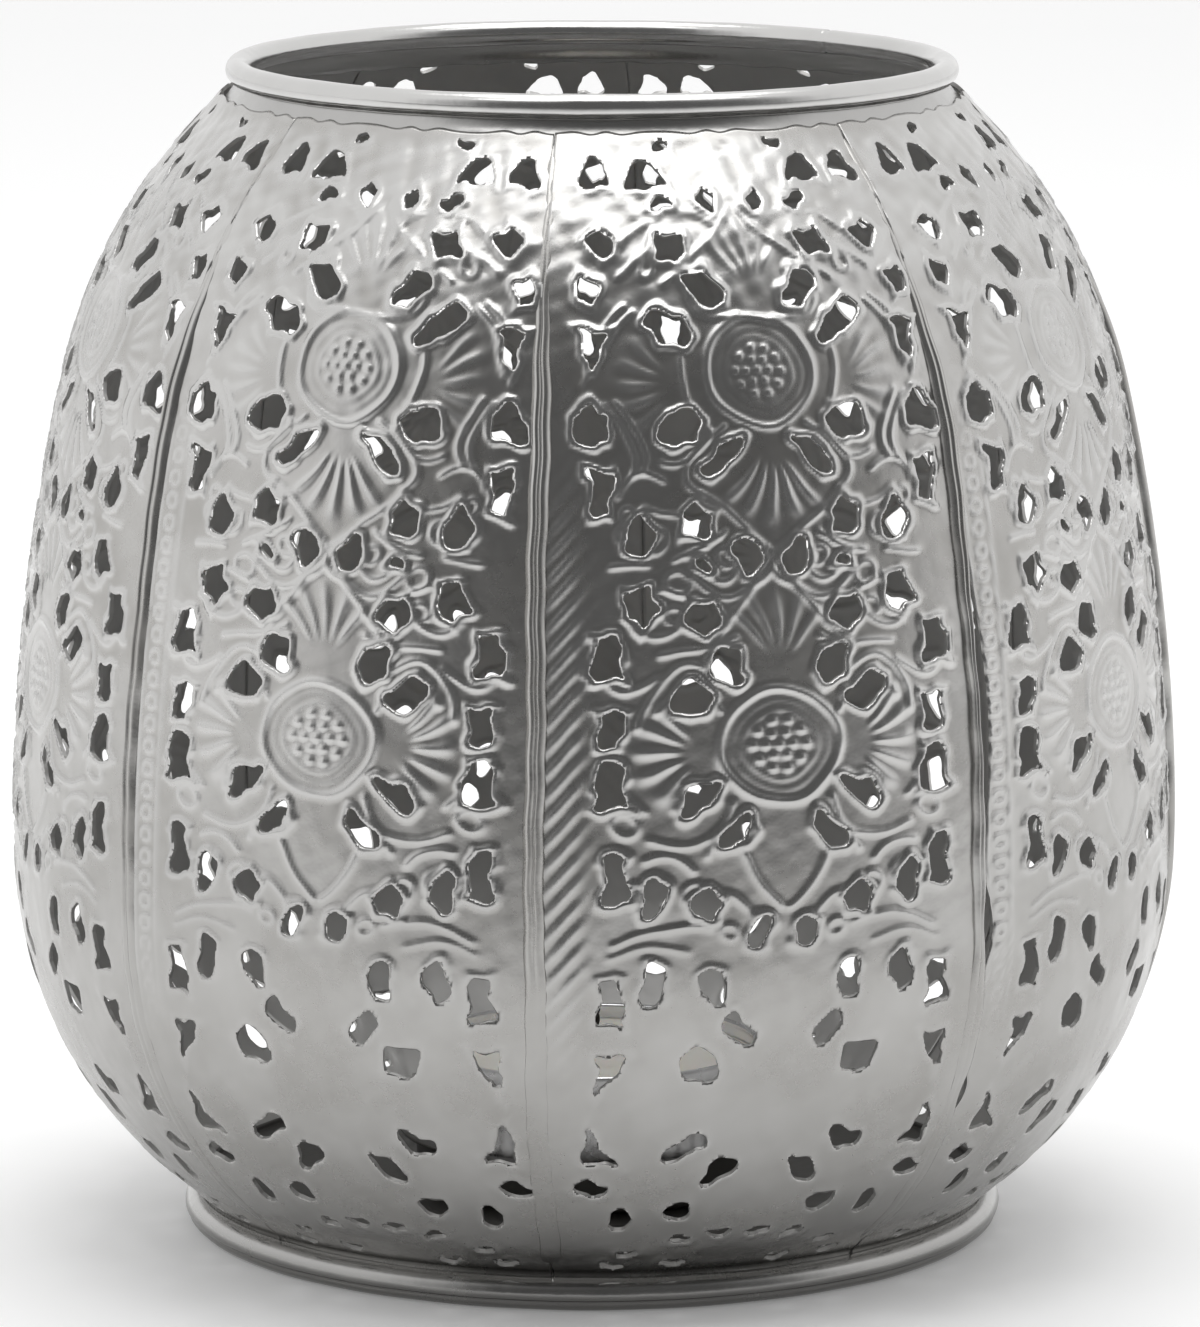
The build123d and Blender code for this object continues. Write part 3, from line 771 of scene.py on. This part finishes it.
def make_metal(name, colour, roughness, tarnish=0.0, painted_shade=None):
    """Bright plated metal: cloudy polish and dents, darker where the relief is low, and painted shade near the
    foot.
    """
    material = plain_material(name, colour, roughness)
    n = Nodes(material.node_tree)
    shader = material.node_tree.nodes["Principled BSDF"]
    shader.inputs["Metallic"].default_value = 1.0
    place = n.add("ShaderNodeTexCoord").outputs["Object"]
    cloud = n.noise(place, CLOUD_SCALE, 5.0)
    fine = n.noise(place, FINE_SCALE, 3.0)
    shade = n.ramp(cloud, (0.35, 0.0), (0.7, 1.0))
    shown = n.mix(n.math("MULTIPLY", shade, 0.25), colour, [c * CLOUD_DARK for c in colour])
    if tarnish:
        relief = n.add("ShaderNodeAttribute", attribute_name="relief").outputs["Fac"]
        low = n.ramp(relief, (0.05, 1.0), (0.45, 0.0))
        low = n.math("MULTIPLY", low, n.ramp(cloud, (0.3, 0.35), (0.7, 1.0)))
        shown = n.mix(n.math("MULTIPLY", low, tarnish), shown, TARNISH)
    # Painted shade: the metal darkens towards a grey near the foot.
    if painted_shade:
        strength, drift, stops = painted_shade
        height = n.add("ShaderNodeSeparateXYZ", {"Vector": place}).outputs["Z"]
        height = n.math("MULTIPLY_ADD", n.math("SUBTRACT", cloud, 0.5), drift, height)
        low = n.ramp(n.math("MULTIPLY", height, 10.0), *stops)
        shown = n.mix(n.math("MULTIPLY", low, strength), shown, PAINTED_SHADE_GREY)
    n.put(shader, "Base Color", shown)
    rough = n.math("MULTIPLY_ADD", cloud, ROUGH_CLOUD, roughness - ROUGH_CLOUD / 2)
    n.put(shader, "Roughness", n.math("MULTIPLY_ADD", fine, ROUGH_FINE, rough))
    n.put(shader, "Normal", n.bump(cloud, 0.35, 0.0006))
    return material


# ------------------------------------------------------------------ seam hems
HEM_RIDGES = 2                           # rolled lines along a hem
HEM_STEPS = 20                           # points across it
HEM_ROWS = 240
HEM_SUNK = 0.03                          # its underside lies this far below the plain sheet, mm
HEM_WIDTH = HEM_ON + SEAM_GAP + HEM_OVER


def hem_section(width, rise):
    """Closed outline across a hem: mm to the right of the panel's edge, mm out of the wall."""
    across = np.linspace(0, 1, HEM_STEPS + 1)
    lines = np.abs(np.sin(math.pi * HEM_RIDGES * across)) ** 0.8 * (0.75 + 0.25 * np.cos(math.pi * across))
    body = np.sin(math.pi * across) ** 0.5
    crown = -RELIEF_DEPTH + HEM_SUNK + rise * body * (0.45 + 0.55 * lines)
    left = HEM_ON / (HEM_ON + HEM_OVER) * width
    top = [(-left + t * width, h) for t, h in zip(across, crown)]
    return top + [(width - left, -RELIEF_DEPTH - HEM_SUNK), (-left, -RELIEF_DEPTH - HEM_SUNK)]


def make_hems(material):
    """Rolled hems over the seams, low near the foot and near the top, narrow there and where one gapes."""
    rows = np.linspace(HEM_END, WALL_LENGTH - HEM_END, HEM_ROWS)
    for i in range(PANELS):
        points, faces = [], []
        for s in rows:
            upper = step_up(s, 110, 2.5)
            gape = seam_gape(s) if i == GAPING - 1 else 0
            rise = (RELIEF_DEPTH + HEM_RISE) * (0.12 + 0.88 * step_up(s, 42, 4)) * (1 - 0.85 * upper)
            drift = 0.12 * math.sin(s * 0.21 + i * 1.7) + 0.06 * math.sin(s * 0.9 + i)
            section = hem_section(HEM_WIDTH * (1 - 0.45 * upper - 0.2 * gape), rise)
            r, z, lean = (float(v) for v in wall(s))
            for x, out in section:
                turn = math.radians(PANEL_RIGHT + i * 360 / PANELS) + (x + drift) / r
                rr, zz = r + out * math.cos(lean), z + out * math.sin(lean)
                points.append((rr * math.sin(turn), -rr * math.cos(turn), zz))
        count = len(section)
        for k in range(len(rows) - 1):
            for a in range(count):
                b = (a + 1) % count
                faces.append((k * count + a, k * count + b, (k + 1) * count + b, (k + 1) * count + a))
        faces.append(list(range(count))[::-1])
        faces.append([(len(rows) - 1) * count + a for a in range(count)])
        piece = mesh_piece(f"seam_hem_{i + 1}", points, faces, [material])
        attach(piece, "lantern")
        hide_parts(f"wall_panel_{i + 1}")


# ------------------------------------------------------------------ hoops and collar
def arc_points(cx, cz, radius, start, end, count):
    """Points on an arc, angles in degrees from the outward direction, turning upwards."""
    angles = np.radians(np.linspace(start, end, count))
    return [(cx + radius * math.cos(a), cz + radius * math.sin(a)) for a in angles]


HOOP_TURNS = 640
HOOP_BUTT = math.radians(118)            # where the hoops' ends meet
BUTT_DEEP, BUTT_HALF = 0.16, 0.006       # the pinch there: mm, radians
GROOVE_HALF = 9                          # degrees of the tube's section
INSET = 0.01                             # keeps the hoops inside their CAD shapes, mm


def make_hoop(name, node, centre_r, centre_z, tube, slot_at, slot_half, groove_at, groove, material):
    """Rolled tube with a slot for the sheet at its top (90) or bottom (-90), butted at one place,
    and with a shallow groove. Angles are in degrees round the tube's section."""
    a, b = (math.degrees(math.asin(slot_half / radius)) for radius in (tube, tube - HOOP_WALL))
    outline = []
    for r, z in arc_points(centre_r, centre_z, tube, slot_at + a, slot_at + 360 - a, 90):
        off = math.degrees(math.atan2(z - centre_z, r - centre_r)) - groove_at
        near = 1 - groove * math.exp(-(off / GROOVE_HALF) ** 2) / tube
        outline.append((centre_r + (r - centre_r) * near, centre_z + (z - centre_z) * near))
    outline += arc_points(centre_r, centre_z, tube - HOOP_WALL, slot_at + 360 - b, slot_at + b, 30)

    def wobble(angle, k, r, z):
        pinch = BUTT_DEEP * math.exp(-((angle - HOOP_BUTT) / BUTT_HALF) ** 2)
        uneven = INSET + 0.03 * (1 + math.sin(7 * angle + 0.8)) + 0.015 * (1 + math.sin(23 * angle))
        near = 1 - (pinch + uneven) / tube
        r, z = centre_r + (r - centre_r) * near, centre_z + (z - centre_z) * near
        return r, max(z, 0)

    piece = lathe(name, outline, [material], turns=HOOP_TURNS, wobble=wobble)
    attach(piece, "lantern")
    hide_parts(node)


SCALLOPS, SCALLOP_DEEP = 40, 0.3         # tongues along the collar's lower edge, mm between them
COLLAR_SHORT, COLLAR_BACK = 0.1, 0.25    # mm left off the flare's length and its outside
COLLAR_TURNS = 480


def make_collar(material):
    cr, cz, radius, _, last = ARCS[-1]
    low = last - (COLLAR_FLARE - COLLAR_SHORT) / radius

    def run(depth, upright_r):
        r = radius - SHEET - FIT - depth - COLLAR_BACK
        flare = [(cr + r * math.cos(a), cz + r * math.sin(a)) for a in np.linspace(low, last, 8)]
        return flare + [(upright_r, RIM_Z - RIM_TUBE - FIT), (upright_r, RIM_Z - WIRE_R - FIT)]

    outer, inner = run(0, RIM_R + COLLAR_SHEET / 2), run(COLLAR_SHEET, RIM_R - COLLAR_SHEET / 2)
    outline = outer + inner[::-1]
    ends = {0: 1.0, len(outline) - 1: 1.0, 1: 0.7, len(outline) - 2: 0.7}

    def wobble(angle, k, r, z):
        share = abs(math.sin(SCALLOPS * angle / 2 + 0.4 * math.sin(3 * angle))) ** 3
        bite = SCALLOP_DEEP * share * ends.get(k, 0)
        return r - bite * math.cos(last), z + bite * math.sin(last)

    piece = lathe("collar", outline, [material], turns=COLLAR_TURNS, wobble=wobble)
    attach(piece, "lantern")
    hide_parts("neck_collar")


# ------------------------------------------------------------------ bottom plate, pan and rivet
def outline_of(points, radius=0.3, steps=4):
    """A closed outline with each corner rounded by up to a radius."""
    rounded = []
    count = len(points)
    for i in range(count):
        p, q, w = (np.array(points[(i + k) % count], float) for k in (-1, 0, 1))
        back, on = p - q, w - q
        reach = min(radius, np.hypot(*back) * 0.45, np.hypot(*on) * 0.45)
        a, b = q + back / np.hypot(*back) * reach, q + on / np.hypot(*on) * reach
        for t in np.linspace(0, 1, steps + 1):
            rounded.append(tuple((1 - t) ** 2 * a + 2 * t * (1 - t) * q + t * t * b))
    return rounded


def lathe_solid(name, outline, materials, body, node, turns=192, wobble=None):
    """A turned piece that stands for a CAD node. Points on the axis become one small pole ring."""
    piece = lathe(name, [(max(r, 0.01), z) for r, z in outline], materials, turns, wobble)
    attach(piece, body)
    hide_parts(node)
    return piece


PLATE_BEADS = [(PLATE_R - 5.0, 0.28), (PAN_R + PAN_LIP + 4.0, 0.22)]   # radius, height
PLATE_BEAD_HALF = 0.9
RIVET_SHANK = 1.4
RIVET_SET = 0.02                         # gap under the rivet's head, mm


def make_bottom(plate_metal, rivet_metal):
    top, edge = PLATE_Z + PLATE, PLATE_Z + PLATE_FLANGE
    face = [(r, top + sum(h * math.exp(-((r - at) / PLATE_BEAD_HALF) ** 2) for at, h in PLATE_BEADS))
            for r in np.linspace(PLATE_R - PLATE - 0.6, 2.2, 70)]
    outline = outline_of([(0, PLATE_Z), (PLATE_R, PLATE_Z), (PLATE_R, edge), (PLATE_R - PLATE, edge),
                          (PLATE_R - PLATE, top)], 0.25)[5:]
    lathe_solid("floor_plate", [(0, PLATE_Z), *outline, *face, (0, top)], [plate_metal], "lantern",
                "base_plate")

    low, floor = PAN_Z, PAN_Z + PAN_SHEET
    rim = floor + PAN_DEPTH
    out = PAN_R + PAN_SHEET
    pan = outline_of([(0, low), (out, low), (out, rim - PAN_SHEET), (out + PAN_LIP, rim - PAN_SHEET),
                      (out + PAN_LIP, rim), (PAN_R, rim), (PAN_R, floor), (0, floor)], 0.7, 6)
    lathe_solid("pan", pan, [plate_metal], "lantern", "candle_pan")

    dome = [(RIVET_HEAD_R * math.cos(a), floor + RIVET_SET + RIVET_HEAD * 0.95 * math.sin(a))
            for a in np.linspace(0, math.pi / 2, 12)]
    tail = [(RIVET_HEAD_R * math.cos(a), PLATE_Z - RIVET_HEAD * 0.95 * math.sin(a))
            for a in np.linspace(math.pi / 2, 0, 10)]
    shank = [(RIVET_SHANK, PLATE_Z), (RIVET_SHANK, floor + RIVET_SET)]
    lathe_solid("rivet", [*tail, *shank, *dome], [rivet_metal], "lantern", "pan_rivet", 64)


# ------------------------------------------------------------------ tealight
CASE_FLUTES, FLUTE_DEEP, CASE_DENT = 60, 0.09, 0.05
CASE_ROWS, CASE_TURNS = 26, 480
WAX_CLEAR = 0.25                         # between the wax and the case, mm
WAX_CREEP, WICK_CREEP = (0.5, 0.8), (0.6, 0.7)   # how high wax climbs the case and the wick, how wide
WAX_SAG = 0.6                            # its surface lies this far below the CAD wax, mm


def make_tealight(case_metal, wax_material, wick_material):
    base, top = LIGHT_Z, LIGHT_Z + CASE_HEIGHT
    ring = LIGHT_R - CASE_RING
    sheet = CASE_WALL
    outer = [(LIGHT_R, z) for z in np.linspace(base + 1.2, top - 1.0, CASE_ROWS)]
    lip = [(LIGHT_R, top - 0.6), (LIGHT_R, top - 0.2), (LIGHT_R - 0.2, top), (LIGHT_R - 0.5, top - 0.1),
           (LIGHT_R - 0.6, top - 0.4), (LIGHT_R - sheet, top - 0.7)]
    inner = [(LIGHT_R - sheet, z) for z in np.linspace(top - 1.0, base + 1.4, CASE_ROWS)]
    floor = [(LIGHT_R - 0.9, base + sheet), (ring + 0.8, base + sheet),
             (ring + sheet, base + CASE_RECESS + sheet), (0, base + CASE_RECESS + sheet)]
    under = [(0, base + CASE_RECESS), (ring - 0.2, base + CASE_RECESS), (ring + 0.4, base),
             (LIGHT_R - 0.8, base)]
    outline = under + outer + lip + inner + floor

    def wobble(angle, k, r, z):
        if r < LIGHT_R - 1.0:
            return r, z
        share = min(1, max(0, (z - base - 1) / 2)) * min(1, max(0, (top - 1.2 - z) / 1.5))
        pleat = FLUTE_DEEP * (1 + math.sin(CASE_FLUTES * angle)) + CASE_DENT * (1 + math.sin(5 * angle + z))
        return r - pleat * share, z

    lathe_solid("case", outline, [case_metal], "tealight", "tealight_case",
                CASE_TURNS, wobble)

    level = base + WAX_TOP
    wax_r = LIGHT_R - sheet - WAX_CLEAR
    surface = []
    for r in np.linspace(wax_r, WICK_R + 0.05, 60):
        creep = WAX_CREEP[0] * math.exp(-(wax_r - r) / WAX_CREEP[1])
        creep += WICK_CREEP[0] * math.exp(-(r - WICK_R) / WICK_CREEP[1])
        surface.append((r, level - WAX_SAG + creep + 0.05 * math.sin(r * 0.9)))
    low = base + CASE_RECESS + sheet + 0.35

    def uneven(angle, k, r, z):
        return r, z + (0.06 * math.sin(3 * angle + r) if z > level - 2 else 0)

    lathe_solid("candle_wax", [(WICK_R + 0.05, low), (wax_r - 1.5, low), *surface], [wax_material],
                "tealight", "tealight_wax", wobble=uneven)
    make_wick(wick_material)


STRANDS, STRAND_R, STRAND_TURN_R, STRAND_TURNS = 3, 0.5, 0.42, 4.5
STRAND_RINGS, STRAND_SIDES = 90, 10
TIP_FROM, TIP_LEAN = 0.75, 0.54          # share of the wick's height, mm the tip leans


def make_wick(material):
    """Three braided strands, charred and leaning at the tip."""
    low, high = LIGHT_Z + CASE_RECESS + CASE_WALL + 0.5, LIGHT_Z + WAX_TOP + WICK_OUT - 0.4
    points, faces = [], []
    rings, sides = STRAND_RINGS, STRAND_SIDES
    for strand in range(STRANDS):
        first = len(points)
        for k in range(rings):
            t = k / (rings - 1)
            z = low + (high - low) * t
            turn = 2 * math.pi * (strand / STRANDS + t * STRAND_TURNS)
            tip = max(0, (t - TIP_FROM) / (1 - TIP_FROM))
            out = STRAND_TURN_R * (1 - 0.4 * tip)
            cx = out * math.cos(turn) + TIP_LEAN * tip ** 2
            cy = out * math.sin(turn)
            thick = STRAND_R * (1 - 0.45 * tip ** 2)
            for a in range(sides):
                w = 2 * math.pi * a / sides
                points.append((cx + thick * math.cos(w), cy + thick * math.sin(w), z))
        for k in range(rings - 1):
            for a in range(sides):
                b = (a + 1) % sides
                p, q = first + k * sides, first + (k + 1) * sides
                faces.append((p + a, p + b, q + b, q + a))
        faces.append([first + a for a in range(sides)][::-1])
        faces.append([first + (rings - 1) * sides + a for a in range(sides)])
    piece = mesh_piece("wick_braid", points, faces, [material])
    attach(piece, "tealight")
    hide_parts("wick")


def make_wax():
    material = plain_material("paraffin", (0.9, 0.87, 0.8), 0.35)
    n = Nodes(material.node_tree)
    shader = material.node_tree.nodes["Principled BSDF"]
    place = n.add("ShaderNodeTexCoord").outputs["Object"]
    cloud = n.noise(place, 160.0, 4.0)
    shade = n.add("ShaderNodeValToRGB", {"Fac": cloud})
    shade.color_ramp.elements[0].color = (0.80, 0.76, 0.68, 1)
    shade.color_ramp.elements[1].color = (0.95, 0.93, 0.88, 1)
    n.put(shader, "Base Color", shade.outputs[0])
    n.put(shader, "Roughness", n.math("MULTIPLY_ADD", cloud, 0.3, 0.25))
    n.put(shader, "Normal", n.bump(cloud, 0.3, 0.0004))
    shader.inputs["Subsurface Weight"].default_value = 0.4
    shader.inputs["Subsurface Radius"].default_value = (0.004, 0.003, 0.002)
    return material


def make_cotton():
    """Cotton that is charred black above the wax."""
    material = plain_material("cotton", (0.85, 0.8, 0.7), 0.9)
    n = Nodes(material.node_tree)
    shader = material.node_tree.nodes["Principled BSDF"]
    place = n.add("ShaderNodeTexCoord").outputs["Object"]
    height = n.add("ShaderNodeSeparateXYZ", {"Vector": place}).outputs["Z"]
    fibres = n.noise(place, 1500.0, 3.0)
    char_at = (LIGHT_Z + WAX_TOP + 1.6) * MM
    burnt = n.math("MULTIPLY", n.math("SUBTRACT", height, char_at), 700.0)
    burnt = n.ramp(n.math("ADD", burnt, fibres), (0.3, 0.0), (1.0, 1.0))
    n.put(shader, "Base Color", n.mix(burnt, (0.82, 0.77, 0.66), (0.025, 0.022, 0.02)))
    n.put(shader, "Normal", n.bump(fibres, 0.6, 0.0002))
    return material


def finish_cad_nodes(wire_metal, tab_metal):
    """CAD pieces that keep their own shape get their material."""
    for node, material in (("rim_wire", wire_metal), ("foot_wire", wire_metal), ("wick_tab", tab_metal)):
        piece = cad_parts[node]
        piece.data.materials.clear()
        piece.data.materials.append(material)


make_camera()
make_world()
make_stage()
nickel = make_metal("nickel_sheet", (0.60, 0.595, 0.585), 0.22, tarnish=0.5, painted_shade=WALL_PAINTED_SHADE)
nickel_inside = make_metal("nickel_sheet_inside", (0.52, 0.515, 0.505), 0.5)
hoop_metal = make_metal("nickel_hoop", (0.62, 0.615, 0.605), 0.16)
# The foot hoop's nickel is painted darker than the rim hoop's: a painted dark reflection, with painted shade
# on its underside.
foot_metal_painted_dark = make_metal("nickel_foot_painted_dark", (0.45, 0.445, 0.435), 0.2, painted_shade=FOOT_PAINTED_SHADE)
collar_metal = make_metal("collar_sheet", (0.48, 0.475, 0.465), 0.2)
# The plate and the pan are painted near black: painted shade of the lantern's dark inside, seen through the
# low holes.
plate_metal = make_metal("bottom_painted_dark", (0.13, 0.127, 0.12), 0.42)
make_panels(nickel, nickel_inside)
make_hems(nickel)
make_hoop("rim_bead", "rim_hoop", RIM_R, RIM_Z, RIM_TUBE, -90, COLLAR_SHEET / 2 + FIT, -42, 0.1, hoop_metal)
make_hoop("foot_bead", "foot_hoop", FOOT_R, FOOT_Z, FOOT_TUBE, 90, SHEET / 2 + FIT, -24, 0.25, foot_metal_painted_dark)
make_collar(collar_metal)
make_bottom(plate_metal, make_metal("rivet_metal", (0.55, 0.54, 0.52), 0.3))
make_tealight(make_metal("aluminium_foil", (0.82, 0.82, 0.83), 0.24), make_wax(), make_cotton())
wire_metal = make_metal("drawn_wire", (0.5, 0.5, 0.49), 0.3)
finish_cad_nodes(wire_metal, make_metal("tinned_tab", (0.45, 0.445, 0.43), 0.36))
